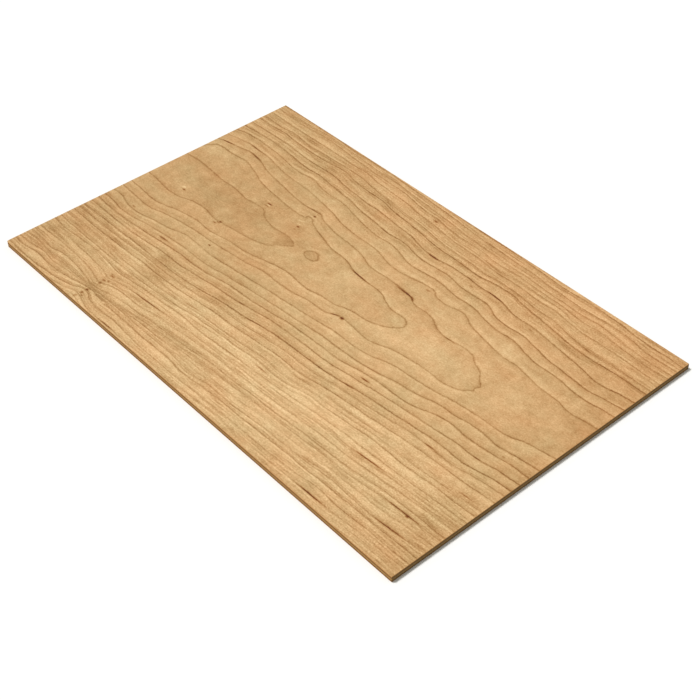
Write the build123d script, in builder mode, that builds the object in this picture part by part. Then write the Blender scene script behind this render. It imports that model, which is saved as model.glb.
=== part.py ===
"""Plywood sheet: a craft panel of cherry-faced hardwood plywood, sawn to 19 in by 12 in.

Frame: origin at the middle of the underside, +X along the face grain, +Y across it, +Z up.
Lengths are in millimetres.
"""

import os

from build123d import *

INCH = 25.4

# The panel as sawn, with the face grain along its length.
LENGTH = 19 * INCH
WIDTH = 12 * INCH

# Hardwood plywood that is sold as 1/4 in measures this once its faces are sanded.
THICKNESS = 5.2

# The saw leaves the corners nearly sharp, and sanding the faces eases the long arrises.
SAWN_CORNER_RADIUS = 0.5
ARRIS_RADIUS = 0.25

# Handling has knocked one corner, which is rounded off more than the rest.
KNOCKED_CORNER_RADIUS = 2.0

# Each corner of the outline, by the side of the centre that it lies on along X and Y.
CORNER_RADII = {
    (-1, -1): KNOCKED_CORNER_RADIUS,
    (+1, -1): SAWN_CORNER_RADIUS,
    (+1, +1): SAWN_CORNER_RADIUS,
    (-1, +1): SAWN_CORNER_RADIUS,
}

# The plies are glued into one piece, so the sheet is one solid through its whole thickness.
with BuildPart() as plywood_sheet:
    with BuildSketch() as outline:
        Rectangle(LENGTH, WIDTH)
        for (side_x, side_y), radius in CORNER_RADII.items():
            corner = (side_x * LENGTH / 2, side_y * WIDTH / 2, 0)
            fillet(outline.vertices().sort_by_distance(corner)[0], radius)
    extrude(amount=THICKNESS)

    # The arris is the rim of each broad face, where it meets the sawn edges.
    underside = plywood_sheet.faces().sort_by(Axis.Z)[0]
    top = plywood_sheet.faces().sort_by(Axis.Z)[-1]
    fillet(underside.edges() + top.edges(), ARRIS_RADIUS)

plywood_sheet.part.label = "plywood_sheet"

os.makedirs("parts", exist_ok=True)
export_step(plywood_sheet.part, "parts/plywood_sheet.step")

size = plywood_sheet.part.bounding_box().size
print("size", round(size.X, 2), "by", round(size.Y, 2), "by", round(size.Z, 2), "mm")
print("solids", len(plywood_sheet.part.solids()), "faces", len(plywood_sheet.part.faces()))
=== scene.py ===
"""Looks of the plywood sheet: cherry face with cathedral grain, sawn ply edges, a plain back.

The sheet lies on a pale floor. +X runs along the face grain, +Y across it and +Z up.
Blender lengths are in metres. Everything that is read off the veneer is in millimetres.
"""

import math

import bpy
import numpy as np
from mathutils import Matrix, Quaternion, Vector


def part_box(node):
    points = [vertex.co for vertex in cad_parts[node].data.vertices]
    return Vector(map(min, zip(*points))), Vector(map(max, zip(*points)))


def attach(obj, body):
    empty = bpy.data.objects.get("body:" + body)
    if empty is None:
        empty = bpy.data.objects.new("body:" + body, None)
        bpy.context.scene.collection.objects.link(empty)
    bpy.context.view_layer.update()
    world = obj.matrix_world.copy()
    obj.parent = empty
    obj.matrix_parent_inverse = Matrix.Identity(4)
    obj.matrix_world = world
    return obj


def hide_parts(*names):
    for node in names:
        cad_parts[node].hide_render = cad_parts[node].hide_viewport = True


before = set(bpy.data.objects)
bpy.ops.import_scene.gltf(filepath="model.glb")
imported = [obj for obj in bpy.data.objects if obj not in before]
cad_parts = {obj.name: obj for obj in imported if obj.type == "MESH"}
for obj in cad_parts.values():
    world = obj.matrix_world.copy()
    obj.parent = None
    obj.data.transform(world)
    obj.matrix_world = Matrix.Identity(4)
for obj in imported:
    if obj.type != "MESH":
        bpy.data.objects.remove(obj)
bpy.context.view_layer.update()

MM = 0.001
NODE = "plywood_sheet"

# The sheet's own box, from the frame.
sheet_low, sheet_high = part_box(NODE)
LENGTH = (sheet_high.x - sheet_low.x) / MM
WIDTH = (sheet_high.y - sheet_low.y) / MM
THICKNESS = (sheet_high.z - sheet_low.z) / MM

# Spacing of the mesh over the face, and how many of its cells one cell of the plain back spans.
FACE_CELLS_X = 300
FACE_CELLS_Y = 188
BACK_STEP = 4

# Places of the three veneers in the sheet's list of materials.
FACE_SLOT = 0
EDGE_SLOT = 1
BACK_SLOT = 2

# Outline, as the sheet was sawn: one corner is knocked round, and the arrises are eased.
SAWN_CORNER_RADIUS = 0.5
KNOCKED_CORNER_RADIUS = 2.0
ARRIS_RADIUS = 0.25
ARRIS_STEPS = 3
EDGE_ROWS = 15

# Growth rings of the face veneer, read off the face as the lines that its grain draws, in mm.
# Each starts with its level, which counts rings towards the heart of the cathedral figure, and
# how dark it is. A line has only the points that its bends need, and the field between the
# lines is worked out from them. A level that isn't whole only keeps two lines apart.
RING_LINES = (
    (-11, 1.0, (0, 151.5), (40, 151.2), (60, 151), (80, 149.9), (105, 148.3), (120, 148),
     (150, 149), (175, 148.2), (195, 146.3), (212, 145.2), (225, 146), (241, 145)),
    (-10, 0.85, (-241, 151.5), (-175, 151.8), (-120, 150.8), (-90, 151), (-60, 149.8), (-30, 148.3),
     (0, 146.4), (20, 144.7), (50, 143.8), (70, 142.8), (90, 143), (105, 141.5), (120, 140.8),
     (150, 140.3), (170, 141.6), (185, 141.3), (200, 139.8), (215, 137.8), (241, 138)),
    (-9, 0.65, (-241, 147.5), (-210, 146.8), (-190, 148), (-175, 149), (-150, 148), (-120, 146.5),
     (-100, 145.5), (-80, 145.8), (-60, 144), (-30, 142), (0, 140), (10, 138.4), (40, 137.6),
     (70, 136), (90, 136.2), (110, 135), (130, 134.6), (150, 133.8), (165, 135.5),
     (185, 133.7), (205, 131.7), (225, 131.5), (241, 132)),
    (-8, 0.65, (-241, 144.5), (-220, 143.3), (-200, 143.2), (-175, 145.2), (-150, 143.8),
     (-120, 142), (-100, 141.3), (-60, 140.2), (-50, 138.8), (-30, 136.2), (-15, 135.8),
     (0, 134), (15, 132.8), (35, 133.3), (60, 131), (85, 132), (110, 130.8), (140, 130.3),
     (150, 128.8), (160, 128.3), (170, 129.3), (190, 127.7), (210, 126.3), (241, 127.2)),
    (-7, 0.7, (-241, 135.5), (-200, 135), (-175, 135.2), (-150, 136), (-120, 135.5), (-110, 136.2),
     (-90, 134), (-60, 132.5), (-50, 132), (-35, 129.6), (-10, 128), (0, 126.4), (20, 124.4),
     (40, 124.8), (60, 123), (70, 122.3), (90, 122.8), (120, 121.4), (130, 122.2),
     (150, 120), (165, 118.7), (180, 119), (200, 119.2), (220, 118.5), (241, 118)),
    (-6, 0.8, (-241, 127.3), (-215, 126.5), (-200, 128), (-175, 126), (-150, 127.2), (-125, 128.3),
     (-110, 128.4), (-90, 126.2), (-75, 124.2), (-60, 123.5), (-45, 121.5), (-20, 119.5),
     (0, 117.1), (20, 115.3), (45, 115), (60, 114.2), (80, 115.3), (100, 115), (120, 113),
     (138, 113), (150, 110.8), (165, 108.2), (180, 106.6), (200, 107.7), (241, 107.8)),
    (-5, 1.25, (-241, 121.3), (-220, 121), (-207, 122.4), (-190, 121.2), (-165, 120.6), (-150, 121),
     (-130, 122.8), (-119, 123.4), (-113, 122), (-105, 120.5), (-85, 118.8), (-68, 118.8),
     (-50, 115.5), (-30, 114.3), (-10, 112), (0, 110.6), (15, 109.3), (40, 109.3),
     (55, 108.4), (67, 108.8), (83, 111.2), (100, 111), (108, 109), (120, 107.4),
     (140, 105.6), (160, 102.6), (180, 101), (200, 102), (225, 103), (241, 102.5)),
    (-4, 1.0, (-241, 111.5), (-215, 112.4), (-190, 112.8), (-160, 111), (-150, 110.8),
     (-130, 112.2), (-120, 111.7), (-108, 109.6), (-80, 107.2), (-60, 107), (-35, 104.8),
     (-15, 103.7), (-5, 101.5), (5, 99), (17, 98.2), (28, 98.9), (36, 100.4), (55, 100.3), (72, 99.3),
     (86, 99.9), (97, 98.7), (112, 95), (120, 94.3), (130, 95), (150, 93.2), (175, 90.2),
     (187, 89), (205, 85.6), (213, 85.6), (228, 88.4), (241, 89.8)),
    (-3, 1.0, (-241, 103.5), (-225, 104.6), (-192, 105.5), (-175, 104), (-160, 102.4), (-150, 102),
     (-134, 103), (-120, 101.8), (-100, 99.8), (-88, 99), (-70, 95.7), (-50, 94), (-30, 92),
     (-15, 93.2), (0, 90.9), (12, 88.8), (28, 89.6), (43, 90.5), (62, 88), (72, 87.8),
     (88, 88.4), (95, 87.3), (105, 82.4), (118, 81.1), (133, 82.3), (150, 79.8), (165, 77),
     (190, 75), (210, 74), (224, 76.2), (241, 78)),
    (-2, 0.85, (-241, 93.6), (-229, 96.4), (-205, 97.6), (-185, 96.6), (-170, 95), (-158, 93.1),
     (-144, 93.3), (-131, 95.3), (-122, 93), (-108, 91.4), (-86, 91.2), (-70, 88),
     (-50, 84.2), (-35, 82.9), (-18, 83.9), (-8, 82.2), (4, 78.8), (15, 77.3), (40, 79.5),
     (52, 79), (66, 76.8), (88, 77.5), (100, 74.5), (115, 72.2), (135, 72.8), (148, 70),
     (160, 67.3), (188, 67.2), (203, 65), (220, 65), (233, 67), (241, 67.5)),
    (-1, 0.65, (-241, 83), (-228, 85.5), (-213, 88.3), (-200, 87.4), (-180, 86.5), (-163, 83.2),
     (-145, 81.8), (-120, 80.9), (-100, 78.4), (-80, 75), (-66, 71.5), (-45, 70), (-20, 69.8),
     (-8, 66.6), (5, 64.6), (17, 65), (35, 68), (48, 69.6), (58, 64.3), (65, 63.7), (86, 67),
     (98, 61.5), (118, 57.4), (142, 53.7), (153, 54.4), (170, 52), (182, 49.8), (202, 49.4),
     (217, 46.6), (232, 48.6), (241, 49)),
    (0, 0.7, (-241, 71.8), (-230, 75.3), (-215, 77.4), (-203, 80.2), (-188, 78.7), (-170, 73),
     (-150, 70), (-130, 67.2), (-108, 65.3), (-89, 67.2), (-84, 64.5), (-65, 60), (-30, 57.5),
     (-20, 55.3), (-10, 51.5), (20, 51.9), (40, 50.4), (46.5, 48.6), (50, 45.6), (70, 45.8),
     (80, 41), (90, 37.4), (103, 37.5), (117, 39.3), (124, 38), (132, 33), (141, 29.6),
     (147, 23), (153.5, 17.3), (150.8, 13.8), (153, 12), (149.5, 8.5), (144, 3.8),
     (133, 0.6), (110, 1), (92, -0.9), (78, -3), (66, -7.2), (57, -9.3), (42, -8.2),
     (28, -6.9), (17, -9), (10, -12.7), (-5, -12.8), (-30, -16.6), (-48, -17), (-62, -17),
     (-80, -20.4), (-100, -22.6), (-120, -24.4), (-150, -26), (-180, -30.6), (-203, -35.3),
     (-220, -34.5), (-241, -33)),
    (1, 0.8, (-241, 55.8), (-228, 66.8), (-215, 66.5), (-194, 68.3), (-180, 65), (-171, 62.7),
     (-165, 59.5), (-145, 56.3), (-112, 53.4), (-99, 53.6), (-93, 55.3), (-89, 58.4),
     (-85.5, 54.8), (-80, 52.3), (-71, 49.5), (-63, 47.4), (-57, 45.5), (-43, 42.8), (-34, 42.9),
     (-24, 41.6), (-14, 38), (5, 36.3), (24, 35.4),
     (33, 31), (44, 28), (58, 28.3), (65.3, 22.3), (60, 14.8), (48, 7.5), (38, 5), (20, 3.3),
     (8, -1), (-8, -2), (-20, -4.5), (-35, -3.8), (-50, -3), (-62, -5), (-80, -9),
     (-90, -11.6), (-115, -13.4), (-138, -17), (-155, -16), (-175, -19), (-203, -26),
     (-220, -25), (-241, -24)),
    (2, 0.58, (-241, 36.7), (-228, 38.2), (-200, 36.4), (-183, 35.2), (-174, 36.2), (-150, 33.6),
     (-129, 35.6), (-120, 30.3), (-104, 25.6), (-86, 27.2), (-76, 25), (-71.5, 21.8),
     (-78, 17), (-82, 13), (-87, 7.2), (-100, 2.8), (-125, -1), (-134, -2.4), (-146, -3.2),
     (-165, -1), (-180, -2.3), (-192, -6.8), (-205, -8.6), (-220, -7), (-241, -5)),
    (2, 0.68, (-59, 25), (-55.5, 29.3), (-52, 31), (-47.5, 28.8), (-43.7, 24), (-46.5, 20.8),
     (-51, 20.2), (-56, 21.6), (-59, 25)),
    (1.88, 0.4, (-66, 26.5), (-66, 20)),
    (-1, 0.7, (241, 5.5), (225, 3.2), (213, 0.8), (205, -2.6), (180, -4.6), (155, -6.6), (130, -11),
     (95, -13.8), (85, -15.5), (73, -20), (55, -21.9), (35, -22), (0, -25.4), (-50, -30.2),
     (-80, -33.2), (-110, -36), (-145, -35.2), (-160, -39.5), (-180, -43), (-206, -47.2),
     (-217, -45.8), (-228, -42.4), (-241, -43)),
    (-2, 0.8, (241, -11.3), (220, -13.4), (206, -15.6), (190, -14.3), (175, -15), (166, -16.6),
     (150, -17.3), (130, -21.4), (105, -25.4), (88, -28.9), (65, -31.8), (35, -32.3),
     (0, -35.1), (-50, -39.5), (-80, -43), (-107, -46.5), (-130, -46.3), (-180, -50.8),
     (-212, -54.8), (-230, -52.4), (-241, -52)),
    (-3, 0.9, (241, -22), (225, -21.8), (205, -24.6), (182, -26), (162, -24.9), (150, -27.3),
     (137, -32.2), (120, -34.5), (95, -35), (80, -36.6), (62, -40), (35, -40.8), (0, -42.2),
     (-30, -46), (-50, -47.4), (-62, -48), (-100, -53.2), (-130, -54.3), (-170, -57.8),
     (-212, -60.3), (-241, -59)),
    (-4, 0.9, (241, -31.5), (222, -32.4), (205, -35.6), (185, -35.6), (150, -38.5), (115, -41.7),
     (85, -45), (55, -48.6), (20, -49.3), (0, -49.5), (-32, -53.5), (-45, -55.4),
     (-70, -57.5), (-110, -62.2), (-150, -63.7), (-175, -66.2), (-210, -66.5), (-241, -66)),
    (-5, 1.2, (241, -39.5), (222, -41.8), (200, -45.8), (175, -44.9), (150, -47.2), (118, -50.4),
     (98, -52), (65, -56.7), (30, -58), (0, -59.1), (-30, -63.8), (-55, -65.6), (-85, -70),
     (-110, -72.1), (-160, -72.6), (-190, -73.3), (-241, -74)),
    (-6, 0.7, (241, -46.5), (215, -49), (200, -51.8), (150, -53), (137, -55), (110, -58),
     (75, -61), (58, -64.2), (25, -64.6), (0, -67.2), (-20, -69.6), (-50, -71.2), (-80, -75),
     (-105, -77), (-125, -77.3), (-145, -77.3), (-180, -78.6), (-220, -79.2), (-241, -79.2)),
    (-7, 0.85, (241, -55.8), (210, -58.3), (180, -59.1), (150, -61.4), (120, -64.4), (85, -67.3),
     (70, -69.3), (55, -72.1), (25, -72.1), (0, -74.2), (-30, -76.8), (-52, -77.8),
     (-80, -81), (-105, -83.2), (-140, -83.5), (-175, -84.9), (-210, -85.2), (-241, -84.5)),
    (-8, 0.55, (-241, -91.5), (-200, -91.2), (-170, -92.3), (-150, -93.4), (-120, -92.8),
     (-88, -91.4), (-70, -89.3), (-50, -87.2), (-20, -85.8), (0, -84), (25, -82.6),
     (52, -82.3), (65, -80), (85, -78), (110, -76.3), (140, -73.8), (180, -72.6),
     (220, -69.9), (241, -68.8)),
    (-9, 0.8, (-241, -98), (-200, -98.8), (-150, -98.9), (-120, -98.3), (-95, -96.6), (-75, -95),
     (-60, -92.6), (-35, -90.5), (0, -88.6), (12, -87.3), (48, -87.6), (60, -85),
     (72, -82.6), (90, -81.8), (120, -79.6), (142, -77.5), (160, -77.9), (200, -76.2),
     (241, -74.5)),
    (-10, 0.75, (-241, -104), (-218, -104.8), (-195, -103.3), (-175, -103), (-158, -104),
     (-143, -105.6), (-125, -104), (-108, -102.2), (-85, -100.8), (-62, -99), (-40, -100),
     (-20, -98.5), (0, -97.6), (20, -96.5), (50, -94.6), (75, -92.6), (100, -90.3),
     (125, -88.8), (150, -88), (175, -87), (200, -85.4), (241, -83)),
    (-11, 0.5, (-241, -110.5), (-180, -111.3), (-165, -112.3), (-150, -114), (-142, -116.6),
     (-136, -114.2), (-128, -112.9), (-112, -111), (-95, -109.8), (-76, -108), (-55, -106.4),
     (-20, -105), (0, -104), (20, -102.3), (70, -100.5), (90, -97.2), (110, -96.5),
     (150, -96.6), (168, -94.2), (200, -92), (241, -89.7)),
    (-12, 0.6, (-241, -118.5), (-180, -118.5), (-160, -120.5), (-142, -124.5), (-135, -121.5),
     (-125, -118.6), (-100, -117.5), (-88, -116.2), (-75, -113.6), (-40, -110.8), (0, -108),
     (40, -106.5), (80, -104.2), (100, -102.6), (150, -101), (175, -98.8), (241, -94)),
    (-13, 0.8, (-241, -127), (-220, -127.5), (-208, -128.6), (-200, -126.5), (-185, -125.3),
     (-165, -127), (-152, -129), (-141, -130.5), (-132, -128.3), (-120, -125.5),
     (-100, -123.8), (-75, -121.3), (-40, -119), (0, -115.2), (20, -115), (45, -113.4),
     (75, -112.6), (95, -110.9), (125, -109.6), (155, -108), (178, -105.2), (200, -104),
     (241, -103.3)),
    (-14, 0.6, (-241, -131.6), (-215, -131.4), (-206, -132.4), (-190, -130.9), (-165, -131.4),
     (-150, -132), (-141, -132), (-130, -130.9), (-115, -129.6), (-80, -126), (-40, -122.5),
     (0, -119.5), (25, -118.8), (50, -117.1), (80, -116.3), (120, -114), (152, -113.2),
     (180, -110), (205, -108.4), (241, -107.3)),
    (-16, 0.65, (-241, -138.6), (-222, -137.2), (-206, -135.4), (-196, -137), (-178, -135.6),
     (-155, -134), (-141, -133.2), (-120, -132), (-60, -132.2), (-32, -131.7), (-10, -133.2),
     (0, -133), (12, -131.6), (50, -130.8), (70, -129), (120, -127.4), (150, -125.3),
     (185, -126.3), (210, -125.3), (241, -122.8)),
    (-17, 0.95, (-241, -143.2), (-228, -143.4), (-210, -141), (-190, -142), (-170, -140),
     (-152, -136.8), (-142, -134.6), (-132, -135.2), (-120, -136.8), (-90, -136.5),
     (-50, -136.8), (-35, -136.2), (-8, -138), (12, -135.8), (60, -134.2), (100, -132.6),
     (150, -131.4), (200, -130.2), (241, -128.8)),
    (-18, 0.8, (-241, -149.6), (-195, -149.4), (-172, -147), (-155, -143), (-144, -138.5),
     (-137, -139), (-130, -142.3), (-118, -143.6), (-93, -142.5), (-72, -144.2),
     (-20, -144.8), (20, -143.3), (60, -141.8), (100, -141.3), (130, -139.4), (150, -137.3),
     (165, -138.2), (200, -137), (241, -136.3)),
    (-19, 0.5, (-180, -152.5), (-158, -149), (-145, -144.5), (-136, -146.5), (-125, -149.6),
     (-105, -150.3), (-75, -150.2), (-30, -149), (0, -149.4), (25, -147.8), (55, -146.4),
     (90, -146.7), (130, -145.8), (160, -145.1), (200, -142.2), (241, -141.5)),
)

# Grain runs much further along the sheet than across it, so distances along it are shrunk.
GRAIN_STRETCH = 3.0
RING_SAMPLE_STEP = 2.6
LEAST_RING_SLOPE = 0.004

# The ring field is worked out in decimetres, with a little smoothing, for a batch at a time.
MM_TO_DM = 0.01
RING_SMOOTHING = 1e-7
RING_BATCH = 4000

# Added to a place on the face, in mm, before it is looked up in the lines, patches and marks.
READ_OFFSET = (0.45, 0.1)

# Broad light and dark patches of the face: centre x and y, length, width, all in mm, angle in
# degrees, and how much lighter the patch is, in steps of a 0 to 255 scale.
TONE_PATCHES = (
    (60, -112, 340, 78, 2, 9),
    (-170, 16, 180, 66, -3, -10),
    (-205, 38, 80, 12, 0, -5),
    (-130, 20, 26, 30, 0, -7),
    (-88, 34, 16, 18, 0, -10),
    (-130, 42, 18, 12, 0, -8),
    (-215, -7, 60, 12, 0, -8),
    (-200, 9, 14, 18, 0, 13),
    (-150, 8, 14, 14, 0, 8),
    (-53, 25, 24, 14, 0, -12),
    (-78, 22, 14, 12, 0, -8),
    (-66, 12, 26, 18, 0, 8),
    (-5, 27, 30, 16, 0, 11),
    (-16, 10, 34, 22, 0, 8),
    (98, 17, 70, 28, 4, 15),
    (58, 4, 40, 10, 12, 9),
    (30, -14, 50, 26, 0, 8),
    (120, -4, 60, 9, 2, 9),
    (5, -32, 60, 18, 0, 7),
    (-35, -8, 70, 12, 3, 6),
    (180, 27, 30, 26, 0, 8),
    (215, 33, 26, 22, 0, 7),
    (152, 18, 12, 26, 10, -7),
    (-168, -12, 50, 12, -5, 6),
    (-128, -25, 24, 40, 0, 7),
    (-212, -32, 50, 30, 0, -5),
    (-182, -45, 40, 12, 8, 5),
    (-215, -50, 60, 10, 0, -2),
    (25, 84, 70, 8, 0, 8),
    (12, 70, 70, 8, 0, 6),
    (20, 74, 220, 60, -4, 4),
    (140, 62, 26, 10, -5, 9),
    (122, 85, 40, 8, -8, 7),
    (80, 54, 36, 12, -8, 7),
    (-30, 51, 20, 12, 0, 7),
    (185, 54, 20, 8, 0, 6),
    (-138, 98, 22, 12, 0, 7),
    (38, 50, 28, 10, -4, -14),
    (15, 97, 24, 6, 0, -6),
    (85, 99, 34, 6, 0, -8),
    (-190, 79, 30, 8, -5, -11),
    (-125, 115, 70, 30, -5, -4),
    (-225, 58, 30, 20, 30, 7),
    (-15, 132, 14, 8, 0, -8),
    (-90, 90, 40, 60, 0, 3),
    (200, 100, 110, 16, -3, -5),
    (220, 84, 60, 10, 0, -7),
    (237, -20, 24, 26, 0, -14),
    (238, 100, 20, 20, 0, -8),
    (236, 55, 24, 60, 0, -6),
    (-220, -75, 60, 50, 0, -9),
    (-222, -120, 60, 40, 0, -7),
    (-146, -90, 16, 70, 0, 11),
    (-122, -78, 30, 56, 0, -9),
    (-118, -124, 50, 14, 0, 12),
    (-152, -138, 20, 16, 0, 12),
    (-142, -118, 12, 24, 20, -12),
    (-135, -135, 34, 7, 0, -7),
    (-180, -102, 36, 60, 0, 4),
    (-50, -58, 100, 11, 3, -8),
    (20, -60, 60, 24, 0, -3),
    (-18, -68, 50, 12, 4, 6),
    (76, -50, 34, 7, 3, 9),
    (115, -51, 110, 8, 3, -8),
    (-60, -92, 46, 20, 0, 11),
    (2, -90, 60, 12, 2, 12),
    (78, -88, 80, 18, 5, 13),
    (160, -84, 120, 12, 2, 9),
    (-95, -82, 34, 34, 0, 5),
    (50, -106, 50, 9, 2, 8),
    (-50, -121, 70, 14, 2, -9),
    (-20, -144, 160, 16, 1, 9),
    (150, -94, 30, 6, 0, -5),
    (210, -109, 26, 9, 0, -9),
    (208, -125, 26, 9, 0, -7),
    (150, -145, 30, 6, 0, -6),
    (232, -115, 36, 90, 0, -9),
    (150, -108, 60, 40, 0, -3),
    (0, 105, 620, 90, 0, -4),
    (150, -70, 220, 110, 0, 6),
    (-20, -110, 260, 90, 0, 5),
    (110, 50, 260, 130, 0, 3),
    (-150, -126, 16, 16, 0, -9),
    (-185, -87, 60, 12, 0, -5),
    (-71, -87, 14, 12, 0, -8),
    (35, -81, 80, 14, 2, -6),
    (-40, -69, 50, 8, 2, -5),
    (10, -30, 14, 28, 0, -6),
    (-80, 22, 30, 24, 0, -4),
    (30, -145, 160, 14, 1, 4),
    (228, 42, 40, 60, 0, -4),
    (80, -22, 40, 30, 0, 5),
    (45, -50, 30, 50, 0, 3),
    (-228, 36, 40, 44, 0, -5),
    (-130, 66, 50, 60, 0, -4),
    (-80, 20, 34, 36, 0, -6),
    (70, 35, 44, 44, 0, -4),
    (205, 34, 80, 60, 0, -4),
    (90, -42, 180, 26, 3, 3),
    (140, -132, 130, 34, 2, 6),
    (-205, -128, 80, 30, 0, 3),
    (-180, -125, 24, 24, 0, -4),
    (120, 140, 90, 30, 0, 3),
    (-215, 142, 70, 24, 0, -4),
)

# Small marks: centre x and y, length, width, all in mm, angle in degrees, and darkness. The
# long thin ones are gum streaks, and a pale mark has a darkness under zero.
MARKS = (
    # Gum streaks.
    (-204, 87.7, 18, 1.4, -2, 0.7),
    (-193, 79.6, 17, 1.7, -6, 0.6),
    (-229, 75.2, 14, 1.5, 12, 0.8),
    (-95, 66.5, 17, 1.2, 4, 0.7),
    (-5, 37, 25, 1.6, -4, 1.1),
    (36, 50.5, 21, 1.8, -2, 1),
    (45, 49.2, 6, 2.4, -30, 0.6),
    (100, 37.1, 16, 1.4, 2, 0.4),
    (18, 98.2, 13, 1.8, -1, 1),
    (88, 99.7, 17, 1.5, -4, 0.9),
    (-35, 92.1, 15, 1.2, -3, 0.5),
    (-153.5, -52, 12, 1.7, 3, 0.8),
    (-43, -55.3, 9, 1.5, 1, 0.6),
    (90, -40.8, 9, 1.7, 4, 1.1),
    (172, -52.4, 9, 1.7, 3, 0.8),
    (203, -35.6, 8, 1.4, 2, 0.6),
    (18, -8.8, 9, 1.8, 24, 0.8),
    (25, -7.9, 4.5, 3.3, 6, 1.2),
    (-95, -109.7, 36, 1.4, 4, 1.1),
    (-67, -86.9, 20, 1.4, 8, 0.6),
    (-88, -89.8, 15, 1.2, 1, 0.4),
    (28, -91.3, 14, 1.4, 0, 0.8),
    (152, -93.5, 30, 1.6, 4, 1.2),
    (204, -108.4, 38, 1.5, 2, 0.9),
    (210, -125, 32, 1.4, 5, 0.9),
    (150, -145.2, 27, 1.7, 1, 1),
    (-95, -150.1, 23, 1.5, 2, 0.8),
    (224, -66.4, 12, 1.2, 2, 0.5),
    (-5, -97.6, 11, 1.2, 1, 0.5),
    (-18, -61.6, 18, 1.2, 9, 0.5),
    (55, -57.1, 12, 1.2, 3, 0.4),
    (86, -54.3, 12, 1.2, 5, 0.6),
    # Pin knots.
    (-15, 132.7, 4.8, 2.4, 0, 0.8),
    (46, 65.5, 4.8, 2.4, 0, 0.6),
    (66, 94.5, 4.8, 2.2, 0, 0.4),
    (134, 91.6, 4.8, 1.9, 0, 0.5),
    (-130, 44, 6, 1.9, 0, 1.2),
    (-130, 40.6, 6.6, 1.2, 0, 0.6),
    (-89, 41.8, 3.8, 2.2, 0, 1),
    (-90, 61.3, 3.4, 2.4, 0, 1.1),
    (-90, 65, 2.4, 1.2, 0, 0.4),
    (-198, 2, 3.8, 2.2, 0, 0.9),
    (-139, -2.6, 3.4, 2.6, 0, 0.8),
    (-140, -4.6, 4.8, 1.7, 0, 0.6),
    (-142, -6.9, 4.3, 1.9, 0, 0.8),
    (-120, -29, 3.1, 1.7, 0, 1.2),
    (-208, -44.6, 4.8, 2.6, 0, 0.5),
    (215, -20.6, 2.9, 1.7, 0, 0.5),
    (210, -109.2, 3.6, 2.6, 0, 0.9),
    (-141, -112.4, 6, 2.9, 0, 0.6),
    (-141.5, -120.4, 4.1, 3.1, 0, 0.7),
    (-138, -118.4, 3.6, 2.4, 0, 0.7),
    (-141, -124.8, 3.6, 4.1, 0, 0.6),
    (-141, -137, 3.6, 3.1, 0, 1),
    (-141.2, -142.2, 3.1, 3.1, 0, 0.8),
    (-138.2, -144.2, 2.9, 2.6, 0, 0.5),
    (-142, -148, 3.6, 4.8, 0, 0.5),
    # Pale marks beside the pin knots, and the faint tail of the small ring.
    (-129.5, 42.5, 4.6, 1.6, 0, -0.5),
    (-134, 46.5, 7, 2, 0, -0.3),
    (-201, 4.6, 5.6, 3, 0, -0.35),
    (-93, 49, 8, 2.4, 25, -0.3),
    (-92, 44.4, 6, 1.6, 20, -0.3),
    (-88.2, 37.6, 4.2, 1.4, 0, 0.45),
    (-141, -115, 5, 1.8, 0, -0.2),
    (-65, 26.2, 13, 1.1, 6, 0.2),
)
MARK_LAYERS = 6
MARK_DEPTH = 84.0

# What a mark's layer holds where there is no mark: far along, far across, and no darkness.
NO_MARK = (9.0, 9.0, 0.0)

# Cross profile of a ring line: depths and heights in steps of a 0 to 255 scale, reaches in mm.
# The inner side darkens slowly towards the line, and the outer side starts pale at once.
CORE_DEPTH = 52.0
CORE_INNER = 0.5
CORE_OUTER = 0.75
LATE_DEPTH = 5.0
LATE_REACH = 2.6
EARLY_HEIGHT = 18.0
EARLY_START = 1.3
EARLY_REACH = 2.6
THIN_DEPTH = 30.0

# Colours, and how far each step of lightness or redness moves their channels. The steps are even
# once a linear colour has been raised to 1 / DISPLAY_POWER.
FACE_COLOUR = (0.508, 0.312, 0.138)
ARRIS_COLOUR = (0.16, 0.07, 0.025, 1.0)
WOOD_STEP = (0.00340, 0.00364, 0.00354)
WOOD_TINT = (0.00330, -0.00120, -0.00150)
DISPLAY_POWER = 2.2

# The plies of the sawn edge: heights of their middles above the back, and half heights, in mm.
CROSSBAND_MIDDLES = (1.2, 4.0)
CROSSBAND_HALF = 0.65
CORE_MIDDLES = (2.6,)
CORE_HALF = 0.75
GLUE_MIDDLES = (0.55, 1.85, 3.35, 4.65)
GLUE_HALF = 0.07

# The key light's strength, width and way of travel, the even fill, and the floor, in metres.
KEY_STRENGTH = 2.85
KEY_ANGLE = math.radians(14)
KEY_COLOUR = (1.0, 0.99, 0.99)
KEY_TRAVEL = (0.36, 0.25, -0.90)
FILL_STRENGTH = 0.45
FILL_COLOUR = (1.0, 1.0, 0.92, 1.0)
FLOOR_COLOUR = (0.84, 0.84, 0.84, 1.0)
FLOOR_REACH = 30.0
FLOOR_GAP = 0.0001

# The camera's place in metres, its aim, and its lens in mm, fitted to the four sides of the face.
CAMERA_PLACE = (0.686046, -0.557790, 0.762586)
CAMERA_AZIMUTH = math.radians(49.880)
CAMERA_ELEVATION = math.radians(42.616)
CAMERA_ROLL = math.radians(-1.513)
CAMERA_LENS = 74.753
SENSOR_WIDTH = 36.0


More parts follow.
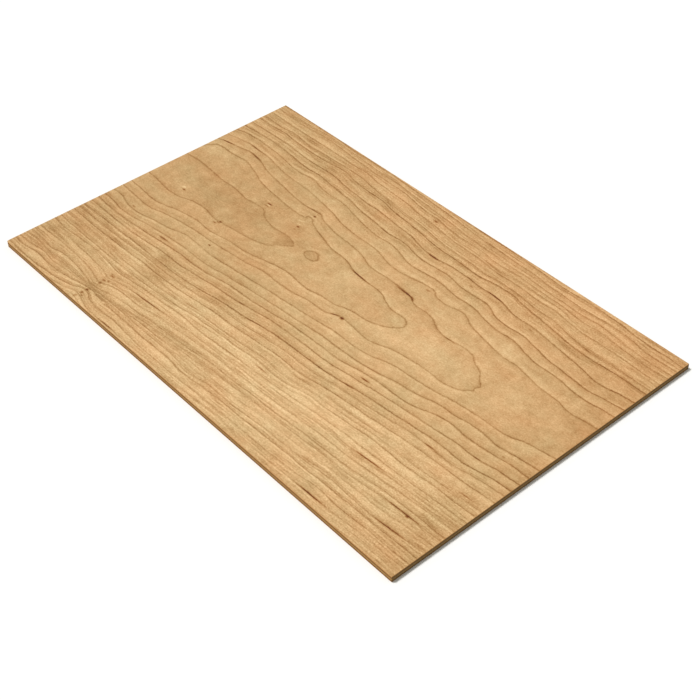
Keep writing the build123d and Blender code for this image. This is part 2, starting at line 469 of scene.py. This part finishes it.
def smooth_line(points, stretch, step):
    """Points along the smooth curve through the given ones, evenly spaced in stretched distance."""
    p = np.array(points, float)
    scaled = p / np.array([stretch, 1.0])
    t = np.concatenate([[0.0], np.cumsum(np.hypot(*np.diff(scaled, axis=0).T))])
    chord = (p[1:] - p[:-1]) / np.diff(t)[:, None]
    before = np.diff(t)[:-1, None]
    after = np.diff(t)[1:, None]
    tangent = np.empty_like(p)
    tangent[1:-1] = (chord[1:] * before + chord[:-1] * after) / (before + after)
    tangent[0], tangent[-1] = chord[0], chord[-1]
    count = max(2, int(round(t[-1] / step)) + 1)
    s = np.linspace(0, t[-1], count)
    k = np.clip(np.searchsorted(t, s, side="right") - 1, 0, len(t) - 2)
    span = (t[k + 1] - t[k])[:, None]
    u = (s - t[k])[:, None] / span
    return (
        (2 * u**3 - 3 * u**2 + 1) * p[k]
        + (u**3 - 2 * u**2 + u) * span * tangent[k]
        + (3 * u**2 - 2 * u**3) * p[k + 1]
        + (u**3 - u**2) * span * tangent[k + 1]
    )


def ring_samples():
    """Places on the ring lines, with their levels and darkness, close enough to hold the field."""
    places = []
    values = []
    for level, darkness, *points in RING_LINES:
        line = smooth_line(points, GRAIN_STRETCH, RING_SAMPLE_STEP)
        if points[0] == points[-1]:
            line = line[:-1]
        places.append(line)
        values.append(np.tile((float(level), darkness), (len(line), 1)))
    return np.concatenate(places), np.concatenate(values)


def thin_plate(a, b):
    """Thin-plate kernel between two sets of places, in grain-stretched decimetres."""
    scale = np.array([MM_TO_DM / GRAIN_STRETCH, MM_TO_DM])
    squared = (((a[:, None, :] - b[None, :, :]) * scale) ** 2).sum(-1)
    return 0.5 * squared * np.log(squared + 1e-12)


def ring_fields(places):
    """Ring level and line darkness at each place: the smoothest surfaces through the lines."""
    centres, values = ring_samples()
    n = len(centres)
    plane = np.column_stack([np.ones(n), centres * MM_TO_DM])
    matrix = np.zeros((n + 3, n + 3))
    matrix[:n, :n] = thin_plate(centres, centres)
    matrix[:n, :n] += RING_SMOOTHING * np.eye(n)
    matrix[:n, n:] = plane
    matrix[n:, :n] = plane.T
    weights = np.linalg.solve(matrix, np.vstack([values, np.zeros((3, 2))]))
    out = np.empty((len(places), 2))
    for start in range(0, len(places), RING_BATCH):
        some = places[start : start + RING_BATCH]
        flat = np.column_stack([np.ones(len(some)), some * MM_TO_DM])
        field = thin_plate(some, centres) @ weights[:n] + flat @ weights[n:]
        out[start : start + RING_BATCH] = field
    return out[:, 0], out[:, 1]


def in_mark(places, cx, cy, length, width, angle):
    """Places in a mark's own terms: along and across it, in halves of its length and width."""
    turn = math.radians(angle)
    x = places[:, 0] - cx
    y = places[:, 1] - cy
    along = (x * math.cos(turn) + y * math.sin(turn)) / (length / 2)
    across = (y * math.cos(turn) - x * math.sin(turn)) / (width / 2)
    return along, across


def tone_field(places):
    """How much lighter the broad patches make each place."""
    tone = np.zeros(len(places))
    for cx, cy, length, width, angle, lighter in TONE_PATCHES:
        along, across = in_mark(places, cx, cy, length, width, angle)
        tone += lighter * np.exp(-(along**2 + across**2))
    return tone


def mark_layers(places, cell):
    """Small marks as layers of vectors: along and across the mark, and its darkness.

    A mark's own terms are linear, so they stay exact between the vertices, however small it is.
    Marks that come near each other lie on different layers.
    """
    layers = np.empty((MARK_LAYERS, len(places), 3))
    layers[:] = NO_MARK
    taken = np.zeros((MARK_LAYERS, len(places)), bool)
    for cx, cy, length, width, angle, darkness in MARKS:
        along, across = in_mark(places, cx, cy, length, width, angle)
        near = np.abs(along) * length / 2 < 0.75 * length + 2 * cell
        near &= np.abs(across) * width / 2 < 1.1 * width + 2 * cell
        layer = next(k for k in range(MARK_LAYERS) if not (taken[k] & near).any())
        taken[layer] |= near
        shape = np.column_stack([along, across, np.full(len(along), darkness)])
        layers[layer][near] = shape[near]
    return layers


def face_axis(size, cells):
    """Even places from one arris to the other, along one side of the face."""
    half = size / 2 - ARRIS_RADIUS
    return np.linspace(-half, half, cells + 1)


def corner_radius(x, y):
    return KNOCKED_CORNER_RADIUS if x < 0 and y < 0 else SAWN_CORNER_RADIUS


def round_corners(x, y, inset):
    """Places on a rectangle's rim pulled onto its rounded corners, and their outward normals."""
    half_x = LENGTH / 2 - inset
    half_y = WIDTH / 2 - inset
    out = np.empty((len(x), 2))
    normal = np.empty((len(x), 2))
    for i, (px, py) in enumerate(zip(x, y)):
        radius = corner_radius(px, py) - inset
        cx = math.copysign(half_x - radius, px)
        cy = math.copysign(half_y - radius, py)
        dx = max(0.0, (px - cx) * math.copysign(1, px))
        dy = max(0.0, (py - cy) * math.copysign(1, py))
        if dx > 0 and dy > 0:
            far = math.hypot(dx, dy)
            n = (math.copysign(dx / far, px), math.copysign(dy / far, py))
            out[i] = (cx + n[0] * radius, cy + n[1] * radius)
        elif abs(px) > half_x - 1e-6:
            n = (math.copysign(1, px), 0.0)
            out[i] = (math.copysign(half_x, px), py)
        else:
            n = (0.0, math.copysign(1, py))
            out[i] = (px, math.copysign(half_y, py))
        normal[i] = n
    return out, normal


def rim_indices(nx, ny):
    """Grid indices round the rim, anticlockwise from the corner at low x and low y."""
    bottom = [(i, 0) for i in range(nx)]
    right = [(nx, j) for j in range(ny)]
    top = [(i, ny) for i in range(nx, 0, -1)]
    left = [(0, j) for j in range(ny, 0, -1)]
    return bottom + right + top + left


def edge_profile():
    """Height and inset of each row down the sawn edge, from the face's rim to the back's."""
    rows = []
    for step in range(1, ARRIS_STEPS + 1):
        turn = math.pi / 2 * step / ARRIS_STEPS
        inset = ARRIS_RADIUS * (1 - math.sin(turn))
        rows.append((THICKNESS - ARRIS_RADIUS * (1 - math.cos(turn)), inset))
    for z in np.linspace(THICKNESS - ARRIS_RADIUS, ARRIS_RADIUS, EDGE_ROWS + 1)[1:]:
        rows.append((float(z), 0.0))
    for step in range(1, ARRIS_STEPS):
        turn = math.pi / 2 * (1 - step / ARRIS_STEPS)
        inset = ARRIS_RADIUS * (1 - math.sin(turn))
        rows.append((ARRIS_RADIUS * (1 - math.cos(turn)), inset))
    return rows


def sheet_mesh():
    """The whole sheet as one closed mesh: a fine face, sawn edges in rows, and a coarser back."""
    nx, ny = FACE_CELLS_X, FACE_CELLS_Y
    xs = face_axis(LENGTH, nx)
    ys = face_axis(WIDTH, ny)
    grid_x, grid_y = np.meshgrid(xs, ys, indexing="ij")
    face_at = np.arange((nx + 1) * (ny + 1)).reshape(nx + 1, ny + 1)
    rim = rim_indices(nx, ny)
    rim_x = np.array([xs[i] for i, _ in rim])
    rim_y = np.array([ys[j] for _, j in rim])
    rim_at = np.array([face_at[i, j] for i, j in rim])
    count = len(rim)

    face_xy = np.column_stack([grid_x.ravel(), grid_y.ravel()])
    rim_xy, rim_normal = round_corners(rim_x, rim_y, ARRIS_RADIUS)
    face_xy[rim_at] = rim_xy
    places = [np.column_stack([face_xy, np.full(len(face_xy), THICKNESS)])]
    faces = []
    slots = []

    a = face_at[:-1, :-1].ravel()
    b = face_at[1:, :-1].ravel()
    c = face_at[1:, 1:].ravel()
    d = face_at[:-1, 1:].ravel()
    faces.extend(np.column_stack([a, b, c, d]).tolist())
    slots.extend([FACE_SLOT] * len(a))

    used = len(face_xy)
    above = rim_at
    around = np.roll(np.arange(count), -1)
    for z, inset in edge_profile():
        outward = ARRIS_RADIUS - inset
        xy = rim_xy + rim_normal * outward
        row = used + np.arange(count)
        places.append(np.column_stack([xy, np.full(count, z)]))
        faces.extend(np.column_stack([above, row, row[around], above[around]]).tolist())
        slots.extend([EDGE_SLOT] * count)
        above = row
        used += count

    # The back's rim has every vertex of the edge, and its inside only one in each BACK_STEP.
    back_rim = used + np.arange(count)
    places.append(np.column_stack([rim_xy, np.zeros(count)]))
    faces.extend(np.column_stack([above, back_rim, back_rim[around], above[around]]).tolist())
    slots.extend([EDGE_SLOT] * count)
    used += count
    back_at = {key: int(back_rim[k]) for k, key in enumerate(rim)}
    inner = []
    for i in range(BACK_STEP, nx, BACK_STEP):
        for j in range(BACK_STEP, ny, BACK_STEP):
            back_at[i, j] = used + len(inner)
            inner.append((xs[i], ys[j], 0.0))
    places.append(np.array(inner))
    for i in range(0, nx, BACK_STEP):
        for j in range(0, ny, BACK_STEP):
            ring = (
                [(i, j + s) for s in range(BACK_STEP)]
                + [(i + s, j + BACK_STEP) for s in range(BACK_STEP)]
                + [(i + BACK_STEP, j + BACK_STEP - s) for s in range(BACK_STEP)]
                + [(i + BACK_STEP - s, j) for s in range(BACK_STEP)]
            )
            loop = [key for key in ring if key in back_at]
            if len(loop) == 4:
                faces.append([back_at[key] for key in loop])
                slots.append(BACK_SLOT)
                continue
            # A cell at the rim is a fan from its corner that is furthest inside.
            hub = max(loop, key=lambda at: min(at[0], nx - at[0]) * ny + min(at[1], ny - at[1]))
            first = loop.index(hub)
            turned = loop[first:] + loop[:first]
            for one, two in zip(turned[1:-1], turned[2:]):
                faces.append([back_at[hub], back_at[one], back_at[two]])
                slots.append(BACK_SLOT)
    return np.concatenate(places), faces, slots, (nx, ny, face_xy)


def store(mesh, name, values, beyond, kind="FLOAT", item="value"):
    """Keeps a value for each vertex of the face, and the same one for all the rest."""
    values = np.asarray(values, np.float32)
    shape = (len(mesh.vertices), *values.shape[1:])
    full = np.empty(shape, np.float32)
    full[:] = beyond
    full[: len(values)] = values
    attribute = mesh.attributes.new(name, kind, "POINT")
    attribute.data.foreach_set(item, full.ravel())


def make_sheet():
    places, faces, slots, (nx, ny, face_xy) = sheet_mesh()
    mesh = bpy.data.meshes.new("sheet_with_veneers")
    mesh.from_pydata((places * MM).tolist(), [], faces)
    mesh.polygons.foreach_set("material_index", slots)

    read_at = face_xy + np.array(READ_OFFSET)
    ring, darkness = ring_fields(read_at)
    step_x = (LENGTH - 2 * ARRIS_RADIUS) / nx
    step_y = (WIDTH - 2 * ARRIS_RADIUS) / ny
    along, across = np.gradient(ring.reshape(nx + 1, ny + 1), step_x, step_y)
    slope = np.maximum(np.hypot(along, across), LEAST_RING_SLOPE)
    store(mesh, "ring", ring, 0.0)
    store(mesh, "ring_slope", slope.ravel(), 1.0)
    store(mesh, "ring_darkness", darkness, 0.0)
    store(mesh, "tone", tone_field(read_at), 0.0)
    for number, layer in enumerate(mark_layers(read_at, max(step_x, step_y))):
        store(mesh, f"marks_{number}", layer, NO_MARK, "FLOAT_VECTOR", "vector")
    mesh.update()

    sheet = bpy.data.objects.new("sheet_with_veneers", mesh)
    bpy.context.scene.collection.objects.link(sheet)
    return sheet


class Graph:
    """A material's nodes, with one short call for each kind that the veneers need."""

    def __init__(self, name):
        self.material = bpy.data.materials.new(name)
        self.material.use_nodes = True
        self.nodes = self.material.node_tree.nodes
        self.links = self.material.node_tree.links
        self.nodes.clear()
        output = self.nodes.new("ShaderNodeOutputMaterial")
        self.shader = self.nodes.new("ShaderNodeBsdfPrincipled")
        self.links.new(self.shader.outputs[0], output.inputs["Surface"])

    def put(self, socket, value):
        if isinstance(value, bpy.types.NodeSocket):
            self.links.new(value, socket)
        else:
            socket.default_value = value

    def math(self, operation, *values):
        node = self.nodes.new("ShaderNodeMath")
        node.operation = operation
        for socket, value in zip(node.inputs, values):
            self.put(socket, value)
        return node.outputs[0]

    def add(self, *values):
        total = values[0]
        for value in values[1:]:
            total = self.math("ADD", total, value)
        return total

    def times(self, *values):
        total = values[0]
        for value in values[1:]:
            total = self.math("MULTIPLY", total, value)
        return total

    def less(self, value, taken):
        return self.math("SUBTRACT", value, taken)

    def highest(self, *values):
        top = values[0]
        for value in values[1:]:
            top = self.math("MAXIMUM", top, value)
        return top

    def clamp(self, value, low=0.0, high=1.0):
        return self.math("MINIMUM", self.math("MAXIMUM", value, low), high)

    def smooth(self, value, low, high):
        node = self.nodes.new("ShaderNodeMapRange")
        node.interpolation_type = "SMOOTHSTEP"
        self.put(node.inputs["Value"], value)
        self.put(node.inputs["From Min"], low)
        self.put(node.inputs["From Max"], high)
        return node.outputs["Result"]

    def decay(self, value, reach):
        """1 at zero, falling to 1/e at the reach."""
        return self.math("EXPONENT", self.times(value, -1.0 / reach))

    def bell(self, value, width):
        """1 at zero, falling to 1/e at the width, on both sides."""
        ratio = self.times(value, 1.0 / width)
        return self.math("EXPONENT", self.times(ratio, ratio, -1.0))

    def split(self, vector):
        node = self.nodes.new("ShaderNodeSeparateXYZ")
        self.links.new(vector, node.inputs[0])
        return node.outputs[0], node.outputs[1], node.outputs[2]

    def place_mm(self):
        coordinates = self.nodes.new("ShaderNodeTexCoord").outputs["Object"]
        return [self.times(value, 1 / MM) for value in self.split(coordinates)]

    def join(self, x, y, z=0.0):
        node = self.nodes.new("ShaderNodeCombineXYZ")
        for socket, value in zip(node.inputs, (x, y, z)):
            self.put(socket, value)
        return node.outputs[0]

    def noise(self, x, y, z=0.0, detail=2.0, roughness=0.5):
        """Smooth noise about zero, mostly between -1 and 1."""
        node = self.nodes.new("ShaderNodeTexNoise")
        node.inputs["Scale"].default_value = 1.0
        node.inputs["Detail"].default_value = detail
        node.inputs["Roughness"].default_value = roughness
        self.links.new(self.join(x, y, z), node.inputs["Vector"])
        return self.math("MULTIPLY_ADD", node.outputs["Fac"], 4.0, -2.0)

    def attribute(self, name, output="Fac"):
        node = self.nodes.new("ShaderNodeAttribute")
        node.attribute_name = name
        return node.outputs[output]

    def mix(self, share, low, high):
        node = self.nodes.new("ShaderNodeMix")
        node.data_type = "RGBA"
        self.put(node.inputs["Factor"], share)
        self.put(node.inputs["A"], low)
        self.put(node.inputs["B"], high)
        return node.outputs["Result"]

    def wood(self, colour, lighter, redder=0.0):
        """A linear colour made lighter by even steps of a 0 to 255 scale, and redder by others."""
        node = self.nodes.new("ShaderNodeCombineColor")
        for socket, value, step, tint in zip(node.inputs, colour, WOOD_STEP, WOOD_TINT):
            steps = self.add(self.times(lighter, step), self.times(redder, tint))
            even = self.add(steps, value ** (1 / DISPLAY_POWER))
            self.put(socket, self.math("POWER", self.clamp(even, 0.05), DISPLAY_POWER))
        return node.outputs[0]

    def brighten(self, colour, gain):
        node = self.nodes.new("ShaderNodeVectorMath")
        node.operation = "SCALE"
        self.put(node.inputs[0], colour)
        self.put(node.inputs["Scale"], gain)
        return node.outputs[0]

    def bump(self, height, distance):
        node = self.nodes.new("ShaderNodeBump")
        node.inputs["Distance"].default_value = distance
        self.put(node.inputs["Height"], height)
        return node.outputs["Normal"]


def rgb(red, green, blue):
    """A linear colour from the usual 0 to 255 values."""
    values = []
    for value in (red, green, blue):
        share = value / 255
        values.append(share / 12.92 if share <= 0.04045 else ((share + 0.055) / 1.055) ** 2.4)
    return (*values, 1.0)


def face_veneer():
    """Sanded cherry: ring lines with a pale outer side, fibres, gum streaks and pin knots."""
    g = Graph("cherry_face")
    x, y, _ = g.place_mm()
    ring = g.attribute("ring")
    slope = g.attribute("ring_slope")

    # The lines wander a little where the knife crossed the fibres.
    wander = g.add(
        g.times(g.noise(g.times(x, 0.06), g.times(y, 0.15), 3.0, detail=1.0), 0.4),
        g.times(g.noise(g.times(x, 0.35), g.times(y, 0.7), 9.0, detail=2.0), 0.35),
    )
    level = g.add(ring, g.times(slope, wander))
    nearest = g.math("ROUND", level)
    part = g.less(level, nearest)
    distance = g.math("DIVIDE", part, slope)
    within = g.less(1.0, g.smooth(g.math("ABSOLUTE", part), 0.3, 0.5))
    inner = g.math("MAXIMUM", distance, 0.0)
    outer = g.math("MAXIMUM", g.times(distance, -1.0), 0.0)

    # Along its run, each line is now darker and now fainter.
    along = g.noise(g.times(x, 0.03), g.times(nearest, 3.7), 5.0, detail=2.0)
    patchy = g.noise(g.times(x, 0.25), g.times(nearest, 5.3), 6.0, detail=1.0)
    darkness = g.times(
        g.attribute("ring_darkness"),
        g.clamp(g.add(1.0, g.times(along, 0.45), g.times(patchy, 0.15)), 0.2, 2.0),
    )
    core = g.times(g.decay(inner, CORE_INNER), g.bell(outer, CORE_OUTER))
    late = g.times(g.decay(inner, LATE_REACH), g.bell(outer, CORE_OUTER), within)
    early = g.times(
        g.decay(outer, EARLY_REACH), g.less(1.0, g.bell(outer, EARLY_START)), within
    )
    lines = g.add(
        g.times(core, darkness, -CORE_DEPTH),
        g.times(late, darkness, -LATE_DEPTH),
        g.times(early, g.math("MULTIPLY_ADD", darkness, 0.5, 0.55), EARLY_HEIGHT),
    )

    # Fainter lines part the years, most of all towards the two long sides, where rings lie close.
    between = g.noise(g.times(x, 0.009), g.times(level, 1.9), 17.0, detail=1.0)
    fading = g.noise(g.times(x, 0.04), g.times(level, 1.7), 18.0, detail=2.0)
    sides = g.smooth(g.math("ABSOLUTE", g.less(y, 18.0)), 50.0, 95.0)
    close = g.smooth(slope, 0.04, 0.09)
    apart = g.smooth(g.math("ABSOLUTE", part), 0.08, 0.2)
    thin = g.times(
        g.bell(between, 0.26),
        g.clamp(g.add(0.55, g.times(fading, 0.9)), 0.0, 1.3),
        g.math("MULTIPLY_ADD", sides, 0.85, 0.15),
        close,
        apart,
    )

    # Between the lines: faint bands inside a year, mottle, fibres, and figure across the grain.
    bands = g.noise(g.times(x, 0.02), g.times(level, 3.0), 7.0, detail=3.0, roughness=0.7)
    mottle = g.noise(g.times(x, 0.09), g.times(y, 0.11), 8.0, detail=4.0, roughness=0.95)
    grit = g.noise(g.times(x, 0.7), g.times(y, 0.75), 11.0, detail=1.0, roughness=0.8)
    fibres = g.noise(g.times(x, 0.16), g.times(y, 1.4), 1.0, detail=3.0, roughness=0.75)
    pores = g.noise(g.times(x, 0.9), g.times(y, 5.0), 4.0, detail=1.0)
    figure = g.noise(g.times(x, 0.12), g.times(y, 0.02), 12.0, detail=2.0, roughness=0.6)
    redness = g.noise(g.times(x, 0.03), g.times(y, 0.04), 15.0, detail=3.0, roughness=0.6)

    marks = 0.0
    for number in range(MARK_LAYERS):
        along, across, strength = g.split(g.attribute(f"marks_{number}", "Vector"))
        length = g.math("POWER", g.math("ABSOLUTE", along), 3.0)
        shape = g.decay(g.add(length, g.times(across, across)), 0.6)
        marks = g.add(marks, g.times(shape, strength))
    ragged = g.noise(g.times(x, 0.6), g.times(y, 1.8), 2.0, detail=2.0)
    marks = g.times(marks, g.add(1.0, g.times(ragged, 0.35)))

    lighter = g.add(
        g.attribute("tone"),
        lines,
        g.times(thin, -THIN_DEPTH),
        g.times(sides, 5.0),
        g.times(bands, g.math("MULTIPLY_ADD", sides, 7.0, 8.0)),
        g.times(mottle, g.math("MULTIPLY_ADD", sides, -7.0, 20.0)),
        g.times(grit, g.math("MULTIPLY_ADD", sides, 8.0, 13.0)),
        g.times(fibres, g.math("MULTIPLY_ADD", sides, 7.0, 8.0)),
        g.times(pores, 4.0),
        g.times(figure, 5.0),
        g.times(marks, -MARK_DEPTH),
    )
    top_right = g.smooth(g.add(g.times(x, 0.4), y), 20.0, 200.0)
    redder = g.add(g.times(top_right, 4.0), g.times(redness, 5.0), g.times(marks, 7.0))
    base = g.wood(FACE_COLOUR, lighter, redder)

    # The face is darkened to a reddish brown over the last half millimetre towards its outline.
    rim = g.math(
        "MINIMUM",
        g.less(LENGTH / 2, g.math("ABSOLUTE", x)),
        g.less(WIDTH / 2, g.math("ABSOLUTE", y)),
    )
    base = g.mix(g.times(g.less(1.0, g.smooth(rim, 0.1, 0.5)), 0.4), base, ARRIS_COLOUR)

    g.put(g.shader.inputs["Base Color"], base)
    roughness = g.add(0.5, g.times(fibres, 0.05), g.times(marks, -0.1))
    g.put(g.shader.inputs["Roughness"], g.clamp(roughness))
    g.shader.inputs["Specular IOR Level"].default_value = 0.3
    relief = g.add(
        g.times(fibres, 0.5),
        g.times(pores, 0.5),
        g.times(core, -0.5),
        g.times(marks, -1.0),
    )
    g.put(g.shader.inputs["Normal"], g.bump(relief, 0.00002))
    return g.material


def sawn_edge():
    """The plies where the saw crossed them, long grain and cut-across grain in turn. The short sides
    are darker, partly for their cut-across grain and partly as painted shade.
    """
    g = Graph("sawn_ply_edge")
    x, y, z = g.place_mm()
    facing = g.split(g.nodes.new("ShaderNodeNewGeometry").outputs["Normal"])[0]
    # Marks the two short sides, for the run of their grain and for their darkening below, which is
    # partly painted shade.
    end_grain_and_shade = g.smooth(g.math("ABSOLUTE", facing), 0.4, 0.8)
    run = g.add(g.times(y, end_grain_and_shade), g.times(x, g.less(1.0, end_grain_and_shade)))
    wobble = g.times(g.noise(g.times(run, 0.03), g.times(z, 0.2), 3.0), 0.1)
    height = g.add(z, wobble)

    def bands(middles, half, soft):
        """1 near any of the middles, falling softly to 0 at half a height from it."""
        shares = []
        for middle in middles:
            off = g.math("ABSOLUTE", g.less(height, middle))
            shares.append(g.less(1.0, g.smooth(off, half - soft, half + soft)))
        return g.highest(*shares)

    crossbands = bands(CROSSBAND_MIDDLES, CROSSBAND_HALF, 0.12)
    core = bands(CORE_MIDDLES, CORE_HALF, 0.12)
    glue = bands(GLUE_MIDDLES, GLUE_HALF, 0.08)
    long_grain = g.noise(g.times(run, 0.08), g.times(height, 5.0), 2.0, detail=4.0)
    speckle = g.noise(g.times(run, 1.6), g.times(height, 2.2), 5.0, detail=3.0)
    saw = g.noise(g.times(run, 0.9), g.times(height, 0.25), 8.0, detail=2.0)

    veneer = rgb(176, 126, 70)
    crossband = rgb(134, 92, 45)
    middle = rgb(172, 133, 76)
    shade = rgb(96, 58, 26)
    base = g.mix(core, g.mix(crossbands, veneer, crossband), middle)
    base = g.mix(g.times(glue, 0.6), base, shade)
    # Both short sides are darkened here, partly for the darker cut-across grain they show and partly
    # as painted shade.
    base = g.mix(g.times(end_grain_and_shade, 0.6), base, rgb(86, 68, 38))
    gain = g.add(1.0, g.times(long_grain, 0.11), g.times(speckle, 0.08), g.times(saw, 0.06))
    base = g.brighten(base, gain)
    g.put(g.shader.inputs["Base Color"], base)
    g.shader.inputs["Roughness"].default_value = 0.8
    g.shader.inputs["Specular IOR Level"].default_value = 0.2
    relief = g.add(
        g.times(long_grain, 0.3),
        g.times(speckle, 0.25),
        g.times(crossbands, -0.5),
        g.times(saw, 0.25),
    )
    g.put(g.shader.inputs["Normal"], g.bump(relief, 0.0001))
    return g.material


def back_veneer():
    """A plainer, straighter cherry veneer on the underside."""
    g = Graph("cherry_back")
    x, y, _ = g.place_mm()
    drift = g.times(g.noise(g.times(x, 0.004), g.times(y, 0.006), 21.0), 15.0)
    across = g.add(y, drift)
    grain = g.noise(g.times(x, 0.004), g.times(across, 0.16), 23.0, detail=5.0, roughness=0.7)
    lines = g.bell(g.noise(g.times(x, 0.003), g.times(across, 0.1), 25.0, detail=1.0), 0.1)
    fibres = g.noise(g.times(x, 0.1), g.times(y, 2.4), 27.0, detail=4.0, roughness=0.65)
    base = g.mix(g.clamp(g.add(0.5, g.times(grain, 0.35))), rgb(196, 154, 108), rgb(174, 130, 86))
    base = g.mix(g.times(lines, 0.4), base, rgb(132, 88, 50))
    base = g.brighten(base, g.add(1.0, g.times(fibres, 0.06)))
    g.put(g.shader.inputs["Base Color"], base)
    g.put(g.shader.inputs["Roughness"], g.add(0.6, g.times(fibres, 0.04)))
    g.shader.inputs["Specular IOR Level"].default_value = 0.3
    g.put(g.shader.inputs["Normal"], g.bump(g.add(fibres, g.times(lines, -0.5)), 0.00003))
    return g.material


def make_floor():
    mesh = bpy.data.meshes.new("floor")
    sides = ((-1, -1), (1, -1), (1, 1), (-1, 1))
    corners = [(x * FLOOR_REACH, y * FLOOR_REACH, 0) for x, y in sides]
    mesh.from_pydata(corners, [], [(0, 1, 2, 3)])
    floor = bpy.data.objects.new("floor", mesh)
    floor.location.z = -FLOOR_GAP
    bpy.context.scene.collection.objects.link(floor)
    g = Graph("pale_floor")
    g.shader.inputs["Base Color"].default_value = FLOOR_COLOUR
    g.shader.inputs["Roughness"].default_value = 0.9
    g.shader.inputs["Specular IOR Level"].default_value = 0.0
    mesh.materials.append(g.material)


def make_light():
    """One soft key from the left and above, and an even pale fill."""
    key = bpy.data.lights.new("key", "SUN")
    key.energy = KEY_STRENGTH
    key.angle = KEY_ANGLE
    key.color = KEY_COLOUR
    lamp = bpy.data.objects.new("key", key)
    travel = Vector(KEY_TRAVEL)
    lamp.rotation_mode = "QUATERNION"
    lamp.rotation_quaternion = travel.to_track_quat("-Z", "Y")
    lamp.location = -travel * 2
    bpy.context.scene.collection.objects.link(lamp)

    world = bpy.data.worlds.new("pale_room")
    world.use_nodes = True
    background = world.node_tree.nodes["Background"]
    background.inputs["Color"].default_value = FILL_COLOUR
    background.inputs["Strength"].default_value = FILL_STRENGTH
    bpy.context.scene.world = world
    bpy.context.scene.view_settings.view_transform = "Standard"


def make_camera():
    """The photograph's view: a long lens from the near corner, looking down at 43 degrees."""
    level = math.cos(CAMERA_ELEVATION)
    back = Vector((
        math.sin(CAMERA_AZIMUTH) * level,
        -math.cos(CAMERA_AZIMUTH) * level,
        math.sin(CAMERA_ELEVATION),
    ))
    data = bpy.data.cameras.new("camera")
    data.sensor_width = SENSOR_WIDTH
    data.lens = CAMERA_LENS
    data.clip_start = 0.01
    data.clip_end = 50.0
    camera = bpy.data.objects.new("camera", data)
    camera.rotation_mode = "QUATERNION"
    upright = (-back).to_track_quat("-Z", "Y")
    camera.rotation_quaternion = upright @ Quaternion((0, 0, 1), CAMERA_ROLL)
    camera.location = CAMERA_PLACE
    bpy.context.scene.collection.objects.link(camera)
    bpy.context.scene.camera = camera


make_camera()
sheet = make_sheet()
for material in (face_veneer(), sawn_edge(), back_veneer()):
    sheet.data.materials.append(material)
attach(sheet, "root")
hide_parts(NODE)
make_floor()
make_light()
